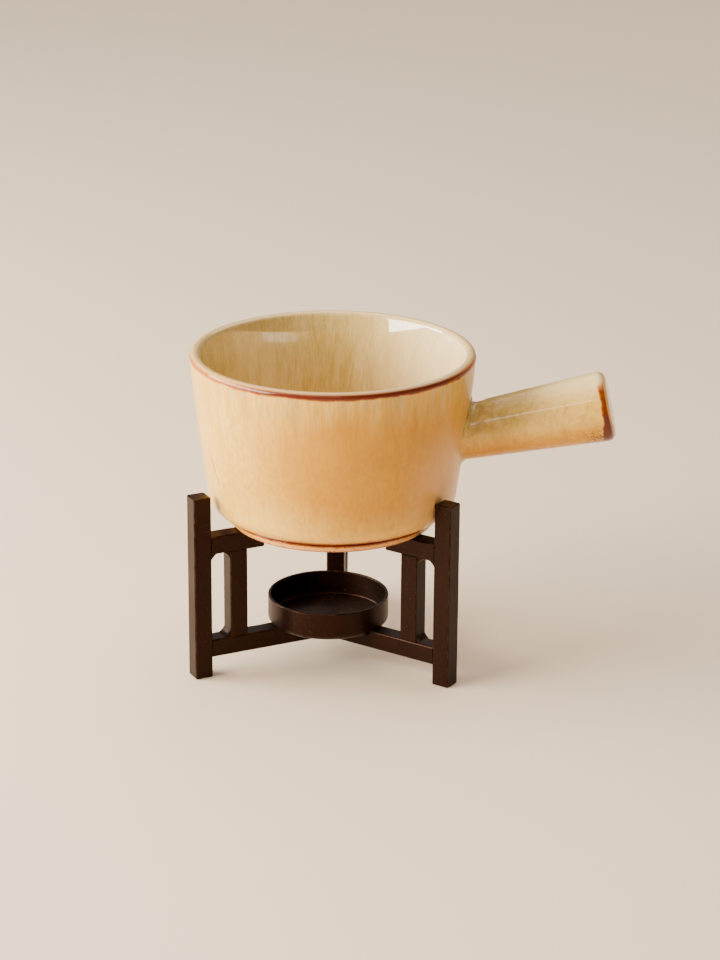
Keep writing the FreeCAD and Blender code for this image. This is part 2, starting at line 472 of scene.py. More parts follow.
underside = Vector((cone_radius(VENT_DISTANCE), 0, 0))
vent_place = on_tilted_axis(underside, WALL_AT_HANDLE + VENT_DISTANCE)
drill(pot_handle, vent_place + Vector((*POT_AXIS, SEAT)), VENT_RADIUS, VENT_DEPTH)

# %% [markdown]
# ## The tealight dish
# The dish is a shallow cup pressed from thin steel sheet. A disc could be given its thickness by
# a Solidify modifier, but its two corners and its lip have different roundings, and an outline can
# hold each of them: the wall has one thickness, the bottom corner is bent, and the lip is dressed.

# %% Dish
dish_low, dish_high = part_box("tealight_dish")
DISH_RADIUS, DISH_WALL = (dish_high[0] - dish_low[0]) / 2 / MM, 1.3
DISH_BASE, DISH_LIP = dish_low[2] / MM, dish_high[2] / MM
DISH_FLOOR = DISH_BASE + DISH_WALL
DISH_ROUND, LIP_ROUND = 2.2, 0.45
DISH_STEPS = 160

shape = chain([
    (0, DISH_BASE, 0),
    (DISH_RADIUS, DISH_BASE, DISH_ROUND),
    (DISH_RADIUS, DISH_LIP, LIP_ROUND),
    (DISH_RADIUS - DISH_WALL, DISH_LIP, LIP_ROUND),
    (DISH_RADIUS - DISH_WALL, DISH_FLOOR, DISH_ROUND - DISH_WALL),
    (0, DISH_FLOOR, 0),
])
spin_round(shape, DISH_STEPS)
dish = finished(shape, "tealight_cup", "stand", "tealight_dish")

# %% [markdown]
# ## The weld beads
# A weld is metal that ran into a corner and froze in small ripples. The ripples could be a bump in
# the paint, but the beads show against the light, so they are shape. A bead's cross-section is one
# face, a triangle with a dipped front. The face is extruded slice by slice along the corner, and
# each new slice is scaled a little up or down about the corner.

# %% One bead
BAR, BAR_ROUND = 8.0, 0.7
WELD_LEG, WELD_HOLLOW, FRONT_STEPS = 2.8, 0.35, 6
WELD_SLICES, RIPPLE_SIZE, RIPPLE_TURN = 14, 0.055, 2.2
WELD_INSET = 0.05        # the bead ends this far short of the bar's rounded edges


def bead_front(x_way, z_way):
    """Points of the dipped front, from the end of one leg of the bead to the end of the other."""
    front = []
    for i in range(FRONT_STEPS + 1):
        share = i / FRONT_STEPS
        dip = 1 - 4 * (0.5 - WELD_HOLLOW) * share * (1 - share)
        front.append(Vector((x_way * (1 - share) * dip, 0, z_way * share * dip)) * WELD_LEG * MM)
    return front


def weld_bead(shape, x, z, x_way, z_way):
    """One bead across the bar, in the corner at (x, z), opening towards x_way and z_way."""
    corner = Vector((x, BAR_ROUND - BAR / 2 + WELD_INSET, z)) * MM
    outline = [corner] + [corner + point for point in bead_front(x_way, z_way)]
    face = shape.faces.new([shape.verts.new(point) for point in outline])
    run = Vector((0, BAR - 2 * BAR_ROUND - 2 * WELD_INSET, 0)) * MM / WELD_SLICES
    size = 1.0
    for i in range(1, WELD_SLICES + 1):
        ripple = 1.0 if i == WELD_SLICES else 1 + RIPPLE_SIZE * math.sin(RIPPLE_TURN * i)
        made = bmesh.ops.extrude_face_region(shape, geom=[face])["geom"]
        if i > 1:
            shape.faces.remove(face)
        face = next(part for part in made if isinstance(part, bmesh.types.BMFace))
        bmesh.ops.translate(shape, verts=face.verts, vec=run)
        bmesh.ops.scale(
            shape, verts=face.verts, vec=(ripple / size, 1, ripple / size),
            space=Matrix.Translation(-(corner + run * i)),
        )
        size = ripple


# %% Corner welds
LEG_TURNS = {"back": 90.0, "left": 210.0, "right": 330.0}

post_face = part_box("outer_post_back")[0][1] / MM
inner_post_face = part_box("inner_post_back")[1][1] / MM
under_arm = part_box("upper_arm_back")[0][2] / MM
arm_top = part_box("inner_post_back")[0][2] / MM


def turn_to_leg(shape, verts, turn):
    bmesh.ops.rotate(shape, verts=verts, matrix=Matrix.Rotation(math.radians(turn), 3, "Z"))


welds = {}
for side, turn in LEG_TURNS.items():
    shape = bmesh.new()
    weld_bead(shape, post_face, under_arm, -1, -1)
    weld_bead(shape, inner_post_face, under_arm, 1, -1)
    weld_bead(shape, inner_post_face, arm_top, 1, 1)
    bmesh.ops.recalc_face_normals(shape, faces=shape.faces)
    turn_to_leg(shape, shape.verts, turn)
    name, node = f"window_welds_{side}", f"corner_welds_{side}"
    welds[side] = finished(shape, name, "stand", node)

# %% [markdown]
# ## The tacks under the dish
# One short weld at each arm holds the dish. A tack is a drop of metal that froze before it could
# spread, so it is round and has no ripples: a sphere, stretched along the arm and sunk into the
# corner of arm and dish.

# %% Tacks
TACK = Vector((2.7, 1.55, 1.5))      # half its length, width and height
TACK_SINK = 0.5
TACK_OVERHANG = 0.1

shape = bmesh.new()
for turn in LEG_TURNS.values():
    blob = bmesh.ops.create_uvsphere(shape, u_segments=20, v_segments=12, radius=MM)["verts"]
    bmesh.ops.scale(shape, verts=blob, vec=TACK)
    out = DISH_RADIUS - DISH_ROUND - TACK.x + TACK_OVERHANG
    middle = Vector((out, -BAR / 2 - TACK_SINK, DISH_BASE - TACK_SINK))
    bmesh.ops.translate(shape, verts=blob, vec=middle * MM)
    turn_to_leg(shape, blob, turn)
tacks = finished(shape, "dish_tacks", "stand", "dish_welds", 180)

# %% [markdown]
# ## Helpers for finishes
# The finishes ask the same few things again and again: a mask that rises between two heights,
# several masks multiplied, a value with a share of another added, a pattern drawn out upright. A
# pattern that several materials use becomes a node group, built once and given its own values in
# each.


# %% Sums and masks
def calc(tree, operation, *values):
    return add(tree, "ShaderNodeMath", dict(enumerate(values)), operation=operation)[0]


def rise(tree, value, start, end):
    """0 before start, 1 after end, smooth between. It falls when start is the larger."""
    low, high, first, last = (start, end, 0.0, 1.0) if start < end else (end, start, 1.0, 0.0)
    values = {"Value": value, "From Min": low, "From Max": high, "To Min": first, "To Max": last}
    return add(tree, "ShaderNodeMapRange", values, interpolation_type="SMOOTHSTEP")["Result"]


def times(tree, *values):
    total = values[0]
    for value in values[1:]:
        total = calc(tree, "MULTIPLY", total, value)
    return total


def add_all(tree, values):
    total = values[0]
    for value in values[1:]:
        total = calc(tree, "ADD", total, value)
    return total


def plus(tree, base, value, share):
    """The base with a share of another value added."""
    return calc(tree, "ADD", base, times(tree, value, share))


def minus(tree, base, value):
    return calc(tree, "SUBTRACT", base, value)


def larger(tree, first, second):
    return calc(tree, "MAXIMUM", first, second)


# %% Vectors and bump
def vector_calc(tree, operation, *values):
    made = add(tree, "ShaderNodeVectorMath", dict(enumerate(values)), operation=operation)
    return made["Value" if operation in ("LENGTH", "DOT_PRODUCT") else "Vector"]


def upright(tree, vector, squeeze):
    """Squeeze a place's height, which draws a pattern out upright. 0 leaves only x and y."""
    return vector_calc(tree, "MULTIPLY", vector, (1, 1, squeeze))


def in_mm(tree, vector):
    return add(tree, "ShaderNodeVectorMath", {0: vector, "Scale": 1 / MM}, operation="SCALE")[0]


def split(tree, vector):
    return add(tree, "ShaderNodeSeparateXYZ", {0: vector})


def bump(tree, height, strength, distance):
    values = {"Height": height, "Strength": strength, "Distance": distance * MM}
    return add(tree, "ShaderNodeBump", values)["Normal"]


# %% Node groups
def new_group(name, inputs, outputs):
    """A shader node group. Inputs and outputs are given as names with their kinds."""
    tree = bpy.data.node_groups.new(name, "ShaderNodeTree")
    for way, sockets in (("INPUT", inputs), ("OUTPUT", outputs)):
        for socket, kind in sockets.items():
            tree.interface.new_socket(name=socket, in_out=way, socket_type=f"NodeSocket{kind}")
    return tree, tree.nodes.new("NodeGroupInput").outputs, tree.nodes.new("NodeGroupOutput")


def use_group(tree, group, values):
    node = tree.nodes.new("ShaderNodeGroup")
    node.node_tree = group
    return fill(tree, node, values)


# %% [markdown]
# ## Runny glaze
# The glaze is a reactive one. It runs down the wall as it melts, so its colour lies in fine
# upright streaks between cream and tan. Where it pools it turns honey or olive, and where it is
# thin, on rims and edges, it breaks to iron brown. A painted picture could show that from one
# side only. A node group that is told where those places are works all round, and the bowl and
# the handle can share it.

# %% Glaze colours
CREAM, TAN = (0.93, 0.575, 0.12, 1), (0.76, 0.41, 0.04, 1)
HONEY_THIN, HONEY_DEEP = (0.75, 0.355, 0.012, 1), (0.57, 0.235, 0.004, 1)
OLIVE_THIN, OLIVE_DEEP = (0.72, 0.52, 0.19, 1), (0.50, 0.335, 0.07, 1)
IRON_THIN, IRON_DEEP = (0.48, 0.105, 0.0, 1), (0.13, 0.014, 0.0, 1)
SPECK_BROWN, SPECK_AMOUNT = (0.40, 0.17, 0.03, 1), 0.3
POOL_MOTTLE = (0.3, 0.7)       # pooled glaze is the more even one


def glaze_pattern(tree, place, runs):
    """Light and dark of the glaze, from curds that stayed still to streaks that ran."""
    broad = noise(tree, upright(tree, place, 0.10), scale=260.0, roughness=0.55)
    fine = noise(tree, upright(tree, place, 0.07), scale=1400.0, detail=2.0, roughness=0.6)
    clouds = noise(tree, place, scale=42.0)
    curds = noise(tree, upright(tree, place, 0.6), scale=540.0, detail=4.0, roughness=0.7)
    streak = plus(tree, times(tree, broad, 0.5), fine, 0.5)
    still = plus(tree, times(tree, curds, 0.6), clouds, 0.4)
    return curds, plus(tree, still, minus(tree, streak, still), runs)


# %% Glaze group
def make_glaze():
    tree, given, result = new_group(
        "runny_glaze",
        {"Place": "Vector", "Runs": "Float", "Honey": "Float", "Olive": "Float", "Break": "Float"},
        {"Color": "Color", "Height": "Float", "Iron": "Float"},
    )
    curds, mottle = glaze_pattern(tree, given["Place"], given["Runs"])
    grain = noise(tree, given["Place"], scale=1900.0, detail=2.0, roughness=0.7)

    colour = blend(tree, rise(tree, mottle, 0.37, 0.63), CREAM, TAN)
    pooled = rise(tree, mottle, *POOL_MOTTLE)
    colour = blend(tree, given["Honey"], colour, blend(tree, pooled, HONEY_THIN, HONEY_DEEP))
    colour = blend(tree, given["Olive"], colour, blend(tree, pooled, OLIVE_THIN, OLIVE_DEEP))
    speck = times(tree, rise(tree, grain, 0.66, 0.76), SPECK_AMOUNT)
    colour = blend(tree, speck, colour, SPECK_BROWN)

    ragged = plus(tree, given["Break"], minus(tree, curds, 0.5), 0.5)
    near_break = rise(tree, given["Break"], 0.02, 0.2)
    iron = times(tree, rise(tree, ragged, 0.22, 0.66), near_break)
    iron_colour = blend(tree, rise(tree, ragged, 0.62, 1.05), IRON_THIN, IRON_DEEP)
    fill(tree, result, {
        "Color": blend(tree, iron, colour, iron_colour),
        "Height": plus(tree, times(tree, mottle, 0.6), grain, 0.15),
        "Iron": iron,
    })
    return tree


glaze = make_glaze()
print("glaze group:", len(glaze.nodes), "nodes")

# %% [markdown]
# ## The body's finish
# The body's glaze changes from place to place: an iron edge at the rim, a brown groove over the
# foot ring, olive inside, bare clay where the foot stands, and honey where it ran thick. Some of
# these tints are painted light. The rim's iron is painted darker away from the softbox as shade
# and paler on the crest as a highlight. The honey on the front right is partly painted shade and a
# painted reflection of an orange floor. The foot's orange is painted bounce light, the tan low on
# the right is painted fill light, and the pale inside facing the softbox is painted light. Those
# places could be painted as vertex colours, but their edges would be as coarse as the mesh. So
# the material works out where on the pot a point is, from its radius and its height above the
# seat, and makes a mask for each place.

# %% Where on the pot a point is
# A mask rises from 0 to 1 between the two heights or radii of its pair, in mm.
WALL_SLOPE = 0.14                                       # radius gained per height outside
WALL_SKIN, FLOOR_SKIN = (-2.2, -3.2), (6.7, 7.2)
LIP_RADIUS, LIP_HEIGHT = (57.9, 56.9), (66.0, 70.0)     # the inside near the rim


def side_lobe(tree, direction, turn, half_width):
    """1 on the side of the pot that faces a turn in degrees, fading over its half width."""
    towards = (math.cos(math.radians(turn)), math.sin(math.radians(turn)), 0)
    facing = vector_calc(tree, "DOT_PRODUCT", direction, towards)
    return rise(tree, facing, math.cos(math.radians(half_width)), 1.0)


def find_spot(tree):
    """A point's place on the pot, and whether it is on the inside or on the outside."""
    place = vector_calc(tree, "SUBTRACT", object_place(tree), Vector((*POT_AXIS, SEAT)) * MM)
    mm = in_mm(tree, place)
    flat = upright(tree, mm, 0)
    z, radius = split(tree, mm)["Z"], vector_calc(tree, "LENGTH", flat)
    wall_line = plus(tree, BELLY[0] - BELLY[1] * WALL_SLOPE, z, WALL_SLOPE)
    within = rise(tree, minus(tree, radius, wall_line), *WALL_SKIN)
    lip = times(tree, rise(tree, radius, *LIP_RADIUS), rise(tree, z, *LIP_HEIGHT))
    inside = larger(tree, times(tree, within, rise(tree, z, *FLOOR_SKIN)), lip)
    return SimpleNamespace(
        place=place, z=z, radius=radius, inside=inside, outside=minus(tree, 1.0, inside),
        direction=vector_calc(tree, "NORMALIZE", flat),
        wobble=minus(tree, noise(tree, upright(tree, place, 0.3), scale=160.0), 0.5),
    )


# %% Iron at the rim
UNDER_RIM_RADIUS, UNDER_RIM_HEIGHT = (58.3, 59.3), (68.0, 70.0)
BAND_HEIGHT, BAND_WOBBLE, BAND_BREAK = (71.3, 73.1), 1.6, 0.62
# Deeper iron on the side turned away from the softbox is painted shade.
BAND_SHADE_SIDE, BAND_SHADE_DEPTH = (-70, 75), 0.55                # turn and half width
# The iron eases off on the crest, as a painted highlight.
CREST_HEIGHT, CREST_HIGHLIGHT_LIFT = (73.6, 74.6), 0.25


def find_rim(tree, spot):
    """The outside under the rim, how far the glaze broke there, and painted shade and highlight.
    """
    in_radius = rise(tree, spot.radius, *UNDER_RIM_RADIUS)
    under_rim = times(tree, in_radius, rise(tree, spot.z, *UNDER_RIM_HEIGHT))
    ragged = plus(tree, spot.z, spot.wobble, BAND_WOBBLE)
    band = times(tree, under_rim, rise(tree, ragged, *BAND_HEIGHT))
    # The crest keeps less iron: a painted highlight.
    crest_highlight = times(tree, rise(tree, spot.z, *CREST_HEIGHT), CREST_HIGHLIGHT_LIFT)
    # The side away from the softbox gets deeper iron as painted shade.
    painted_band_shade = side_lobe(tree, spot.direction, *BAND_SHADE_SIDE)
    depth = minus(tree, plus(tree, BAND_BREAK, painted_band_shade, BAND_SHADE_DEPTH), crest_highlight)
    return under_rim, times(tree, band, depth)


# %% Iron at the foot, and the lone run
FOOT_WOBBLE = 0.8
GROOVE_START, GROOVE_END, GROOVE_BREAK = (1.7, 2.7), (6.3, 4.5), 0.85
FOOT_EDGE, FOOT_BREAK = (1.1, 0.3), 0.9
BELLY_EDGE, BELLY_START, BELLY_BREAK = (9.0, 5.2), (2.8, 3.4), 0.5
PEPPER_HEIGHT, PEPPER_BREAK = (9.0, 2.5), 0.6
RUN_TURN, RUN_SIDE = 212.0, 40         # the side where one run of glaze broke to brown
RUN_START, RUN_END, RUN_MIDDLE = (21.0, 25.0), (42.0, 36.0), 31.0
RUN_WIDTH, RUN_LEAN, RUN_WOBBLE, RUN_BREAK = (0.022, 0.006), 0.007, 0.06, 0.5


def foot_breaks(tree, spot):
    """Breaks in the groove, on the foot's lower edge and at the start of the belly."""
    low = plus(tree, spot.z, spot.wobble, FOOT_WOBBLE)
    in_groove = times(tree, rise(tree, low, *GROOVE_START), rise(tree, low, *GROOVE_END))
    on_edge = rise(tree, low, *FOOT_EDGE)
    on_belly = times(tree, rise(tree, low, *BELLY_EDGE), rise(tree, low, *BELLY_START))
    parts = ((in_groove, GROOVE_BREAK), (on_edge, FOOT_BREAK), (on_belly, BELLY_BREAK))
    return [times(tree, mask, spot.outside, amount) for mask, amount in parts]


def lone_run(tree, spot):
    """A thin run of glaze that leans a little as it goes down."""
    turn = math.radians(RUN_TURN)
    across = (-math.sin(turn), math.cos(turn), 0)
    aside = vector_calc(tree, "DOT_PRODUCT", spot.direction, across)
    aside = plus(tree, aside, minus(tree, spot.z, RUN_MIDDLE), RUN_LEAN)
    aside = plus(tree, aside, spot.wobble, RUN_WOBBLE)
    return times(
        tree, rise(tree, calc(tree, "ABSOLUTE", aside), *RUN_WIDTH),
        rise(tree, spot.z, *RUN_START), rise(tree, spot.z, *RUN_END), spot.outside,
        side_lobe(tree, spot.direction, RUN_TURN, RUN_SIDE), RUN_BREAK,
    )


def pepper(tree, spot):
    """Fine iron grains that gather towards the foot."""
    grains = noise(tree, spot.place, scale=1300.0, detail=2.0, roughness=0.6)
    low_down = rise(tree, spot.z, *PEPPER_HEIGHT)
    return times(tree, rise(tree, grains, 0.57, 0.66), low_down, spot.outside, PEPPER_BREAK)


# %% Honey and olive
# Turn, half width and amount of each side where the glaze ran thick. The first side, on the
# front right, is partly painted shade and a painted reflection of an orange floor.
HONEY_AND_SHADE_SIDES = [(-62.0, 74.0, 1.25), (80.0, 70.0, 0.7), (165.0, 40.0, 0.4)]
HONEY_START, HONEY_END = (3.0, 32.0), (84.0, 44.0)
PATCH_AMOUNT = 0.25
DRIP_LENGTH, DRIP_HEIGHT, DRIP_AMOUNT = 26.0, (69.0, 84.0), 0.8
# The inside wall on the side facing the softbox is painted paler and less olive, as painted light.
PAINTED_LIGHT_SIDE, OFF_MIDDLE = (8, 85), (8.0, 44.0)          # the floor's middle has no side
OLIVE_LOW, OLIVE_MORE, OLIVE_HEIGHT, OLIVE_PAINTED_LIGHT_FADE = 0.55, 0.4, (20.0, 60.0), 0.75


def find_honey_and_painted_shade(tree, spot):
    # The front-right side's honey is partly painted shade and a painted reflection of an orange
    # floor.
    lobes = [times(tree, side_lobe(tree, spot.direction, t, w), a) for t, w, a in HONEY_AND_SHADE_SIDES]
    tall = times(tree, rise(tree, spot.z, *HONEY_START), rise(tree, spot.z, *HONEY_END))
    patches = rise(tree, noise(tree, spot.place, scale=26.0, detail=2.0), 0.45, 0.75)
    honey = times(tree, add_all(tree, lobes), tall, spot.outside)
    return plus(tree, honey, times(tree, patches, spot.outside), PATCH_AMOUNT)


def find_drips(tree, spot):
    """Olive drips of many lengths that hang from the rim on the outside."""
    strands = upright(tree, spot.place, 0.05)
    dribble = noise(tree, strands, scale=330.0, detail=2.0, roughness=0.55)
    reach = noise(tree, upright(tree, spot.place, 0.02), scale=70.0, detail=2.0)
    end = rise(tree, plus(tree, spot.z, reach, DRIP_LENGTH), *DRIP_HEIGHT)
    return times(tree, rise(tree, dribble, 0.46, 0.64), end, spot.outside)


def find_olive(tree, spot, painted_lit_side):
    deeper = times(tree, rise(tree, spot.z, *OLIVE_HEIGHT), OLIVE_MORE)
    # The olive fades on the side facing the softbox, as painted light.
    painted_light_fade = minus(tree, 1.0, times(tree, painted_lit_side, OLIVE_PAINTED_LIGHT_FADE))
    inside = times(tree, spot.inside, painted_light_fade, calc(tree, "ADD", OLIVE_LOW, deeper))
    return larger(tree, inside, times(tree, find_drips(tree, spot), DRIP_AMOUNT))


# %% Body material
RUNS_LOW, RUNS_MORE, RUNS_HEIGHT = 0.35, 0.5, (38.0, 66.0)
# The orange on the foot is painted bounce light from an orange floor.
FOOT_BOUNCE_TINT, FOOT_BOUNCE_HEIGHT = (0.82, 0.36, 0.08, 1), (6.5, 3.4)
# The tan on the lower right of the belly is painted fill light.
TAN_FILL_LIGHT, FILL_LIGHT_SIDE, FILL_LIGHT_HEIGHT = (0.86, 0.50, 0.24, 1), (-5, 55), (60.0, 30.0)
CLAY_LIGHT, CLAY_DARK = (0.55, 0.40, 0.27, 1), (0.42, 0.29, 0.18, 1)
CLAY_HEIGHT, CLAY_RADIUS, CLAY_ROUGHNESS = (0.35, 0.1), (38.8, 39.6), 0.85
# Painted light: a paler inside on the side facing the softbox, and a paler crest as a painted
# highlight.
PAINTED_LIGHT_INSIDE, CREST_HIGHLIGHT_TINT = (0.94, 0.82, 0.52, 1), (0.92, 0.56, 0.20, 1)


def tint_places(tree, spot, colour, iron, bare, painted_lit_side):
    """Lay the tints of single places over the glaze, painted light among them."""
    glazed = minus(tree, 1.0, iron)
    # Painted bounce light: the foot and the lowest belly turn orange.
    foot = times(tree, rise(tree, spot.z, *FOOT_BOUNCE_HEIGHT), spot.outside, glazed, 0.8)
    colour = blend(tree, foot, colour, FOOT_BOUNCE_TINT)
    # Painted fill light: a lighter tan low on the right side.
    fill_light_side = side_lobe(tree, spot.direction, *FILL_LIGHT_SIDE)
    tan = times(tree, fill_light_side, rise(tree, spot.z, *FILL_LIGHT_HEIGHT), spot.outside, glazed, 0.6)
    colour = blend(tree, tan, colour, TAN_FILL_LIGHT)
    clay = blend(tree, noise(tree, spot.place, scale=2400.0), CLAY_LIGHT, CLAY_DARK)
    colour = blend(tree, bare, colour, clay)
    # The paler inside on the side facing the softbox is painted light.
    colour = blend(tree, times(tree, spot.inside, painted_lit_side, 0.55), colour, PAINTED_LIGHT_INSIDE)
    # The paler crest is a painted highlight.
    crest_highlight = times(tree, rise(tree, spot.z, 74.0, 74.8), 0.6)
    return blend(tree, crest_highlight, colour, CREST_HIGHLIGHT_TINT)


def make_body_material():
    material, tree, shader = new_material(
        "bowl_glaze", IOR=1.5, Specular_IOR_Level=0.12, Coat_Roughness=0.02, Coat_IOR=1.8,
    )
    spot = find_spot(tree)
    under_rim, rim_break = find_rim(tree, spot)
    # The side of the inside that faces the softbox, where a paler colour is painted light.
    lobe = side_lobe(tree, spot.direction, *PAINTED_LIGHT_SIDE)
    painted_lit_side = times(tree, lobe, rise(tree, spot.radius, *OFF_MIDDLE))
    upper_wall = plus(tree, RUNS_LOW, rise(tree, spot.z, *RUNS_HEIGHT), RUNS_MORE)
    breaks = [rim_break, *foot_breaks(tree, spot), lone_run(tree, spot), pepper(tree, spot)]
    glazed = use_group(tree, glaze, {
        "Place": spot.place, "Runs": larger(tree, spot.inside, upper_wall),
        "Honey": find_honey_and_painted_shade(tree, spot), "Olive": find_olive(tree, spot, painted_lit_side),
        "Break": add_all(tree, breaks),
    })
    bare = times(tree, rise(tree, spot.z, *CLAY_HEIGHT), rise(tree, spot.radius, *CLAY_RADIUS))
    gloss = plus(tree, 0.30, glazed["Height"], 0.10)
    glossy_places = larger(tree, spot.inside, times(tree, under_rim, 0.35))
    fill(tree, shader, {
        "Base Color": tint_places(tree, spot, glazed["Color"], glazed["Iron"], bare, painted_lit_side),
        "Roughness": larger(tree, gloss, times(tree, bare, CLAY_ROUGHNESS)),
        "Coat Weight": larger(tree, 0.25, glossy_places),
        "Normal": bump(tree, glazed["Height"], strength=0.35, distance=0.12),
    })
    return material


pot_body.data.materials.append(make_body_material())
print("body finish on", pot_body.name)

# %% [markdown]
# ## The handle's finish
# The same glaze, told other places: olive where it pooled on top of the root, cream on the upper
# side of the end, honey underneath, and iron brown round the end's edge, where it ran thin. That
# iron is painted darker towards the underside as shade. The handle's places lie along its own
# tilted axis. The mesh could be unwrapped to follow it. Two dot products do the same here: one
# gives the distance along the axis, the other the height over it.

# %% Where on the handle a point is
HANDLE_AXIS = Vector((math.cos(HANDLE_TILT), 0, math.sin(HANDLE_TILT)))
HANDLE_TOP = Vector((-math.sin(HANDLE_TILT), 0, math.cos(HANDLE_TILT)))


def find_handle_spot(tree):
    crossing = Vector((*POT_AXIS, SEAT + HANDLE_HEIGHT)) * MM
    place = vector_calc(tree, "SUBTRACT", object_place(tree), crossing)
    mm = in_mm(tree, place)
    along = minus(tree, vector_calc(tree, "DOT_PRODUCT", mm, HANDLE_AXIS), WALL_AT_HANDLE)
    wobble = minus(tree, noise(tree, place, scale=260.0), 0.5)
    return SimpleNamespace(
        place=place, along=along, up=vector_calc(tree, "DOT_PRODUCT", mm, HANDLE_TOP),
        ragged=plus(tree, along, wobble, 2.0),
    )


# %% Iron on the handle
RING_START, RING_END, RING_TOP = (61.4, 62.8), (65.2, 64.0), (14.0, 10.0)
RING_WIDER, RING_WIDER_UP = 1.6, (0.0, -11.0)          # the ring widens towards the underside
# The ring's iron deepens towards the underside as painted shade.
RING_BREAK, RING_SHADE_DEPTH, RING_SHADE_UP = 0.85, 0.6, (3.0, -6.0)
UNDER_UP, UNDER_ALONG, UNDER_BREAK = (-9.5, -14.0), (26.0, 58.0), 0.6


def handle_break(tree, spot):
    """Iron in a ring at the end, painted darker underneath as shade, and in a long patch
    underneath.
    """
    widening = times(tree, rise(tree, spot.up, *RING_WIDER_UP), RING_WIDER)
    ring = times(
        tree, rise(tree, calc(tree, "ADD", spot.ragged, widening), *RING_START),
        rise(tree, minus(tree, spot.along, widening), *RING_END), rise(tree, spot.up, *RING_TOP),
    )
    # Deeper iron low on the ring is painted shade.
    depth = plus(tree, RING_BREAK, rise(tree, spot.up, *RING_SHADE_UP), RING_SHADE_DEPTH)
    under = times(tree, rise(tree, spot.up, *UNDER_UP), rise(tree, spot.ragged, *UNDER_ALONG))
    return larger(tree, times(tree, ring, depth), times(tree, under, UNDER_BREAK))


# %% Handle material
UPPER_UP, LOWER_UP = (-3.0, 6.0), (1.0, -7.0)
OLIVE_ALONG, OLIVE_ROOT, OLIVE_AMOUNT = (60.0, 4.0), (1.5, 5.0), 0.9
HONEY_ALONG, HONEY_AMOUNT = (66.0, 58.0), 0.95
PALE_TINT, PALE_UP, PALE_ALONG = (0.93, 0.70, 0.34, 1), (6.0, 13.0), (22.0, 56.0)
SHADE_TINT, SHADE_ALONG = (0.30, 0.18, 0.045, 1), (34.0, 2.0)
SPECK_TINT, SPECK_UP = (0.10, 0.035, 0.008, 1), (-3.5, -8.0)
SPECK_START, SPECK_END = (47.0, 60.0), (64.5, 62.5)
FACE_TINT, FACE_ALONG = (0.86, 0.46, 0.16, 1), (64.2, 65.0)
STILL_GLAZE = -0.2       # the glaze on the handle curdled and did not run


def tint_handle(tree, spot, colour, breaks, upper):
    """Lay the handle's own tints over the glaze."""
    unbroken = rise(tree, breaks, 0.3, 0.1)
    on_top = times(tree, rise(tree, spot.up, *PALE_UP), rise(tree, spot.ragged, *PALE_ALONG))
    colour = blend(tree, times(tree, on_top, unbroken, 0.7), colour, PALE_TINT)
    blotches = rise(tree, noise(tree, spot.place, scale=300.0), 0.32, 0.62)
    shade = times(tree, upper, rise(tree, spot.ragged, *SHADE_ALONG), blotches, 0.7)
    colour = blend(tree, shade, colour, SHADE_TINT)
    under_end = times(
        tree, rise(tree, spot.up, *SPECK_UP), rise(tree, spot.along, *SPECK_START),
        rise(tree, spot.along, *SPECK_END),
    )
    grains = rise(tree, noise(tree, spot.place, scale=900.0, roughness=0.65), 0.46, 0.60)
    colour = blend(tree, times(tree, grains, under_end, 0.9), colour, SPECK_TINT)
    return blend(tree, times(tree, rise(tree, spot.along, *FACE_ALONG), 0.6), colour, FACE_TINT)


def make_handle_material():
    material, tree, shader = new_material(
        "handle_glaze", IOR=1.5, Specular_IOR_Level=0.15, Coat_Weight=0.5, Coat_Roughness=0.10,
        Coat_IOR=1.5,
    )
    spot = find_handle_spot(tree)
    upper, lower = rise(tree, spot.up, *UPPER_UP), rise(tree, spot.up, *LOWER_UP)
    breaks = handle_break(tree, spot)
    off_root = rise(tree, spot.along, *OLIVE_ROOT)
    olive = times(tree, upper, rise(tree, spot.ragged, *OLIVE_ALONG), off_root, OLIVE_AMOUNT)
    honey = times(tree, lower, rise(tree, spot.along, *HONEY_ALONG), HONEY_AMOUNT)
    glazed = use_group(tree, glaze, {
        "Place": spot.place, "Runs": STILL_GLAZE, "Honey": honey, "Olive": olive,
        "Break": breaks,
    })
    fill(tree, shader, {
        "Base Color": tint_handle(tree, spot, glazed["Color"], breaks, upper),
        "Roughness": plus(tree, 0.2, glazed["Height"], 0.12),
        "Normal": bump(tree, glazed["Height"], strength=0.4, distance=0.12),
    })
    return material


pot_handle.data.materials.clear()
pot_handle.data.materials.append(make_handle_material())
print("handle finish on", pot_handle.name)

# %% [markdown]
# ## Black satin paint
# The stand is steel bar under satin black paint with a warm cast. Even plain paint isn't one
# colour: it has a fine grain, faint clouds, a few bright specks, and it wears to a lighter brown.
# The bars, the dish and the welds share it, so it is a group that is told where it is worn.

# %% Paint group
STEEL_SHADER = {"IOR": 1.5, "Specular_IOR_Level": 0.22, "Specular_Tint": (1.0, 0.5, 0.33, 1)}
PAINT_DARK, PAINT_LIGHT = (0.0032, 0.0008, 0.0003, 1), (0.0060, 0.0016, 0.0006, 1)
PAINT_SPECK, PAINT_SPECK_AMOUNT = (0.11, 0.07, 0.05, 1), 0.5
WORN_BROWN, WORN_AMOUNT, WORN_SMOOTHER = (0.10, 0.058, 0.042, 1), 0.3, 0.20
PAINT_ROUGHNESS, PAINT_ROUGHNESS_SPREAD = 0.40, 0.25


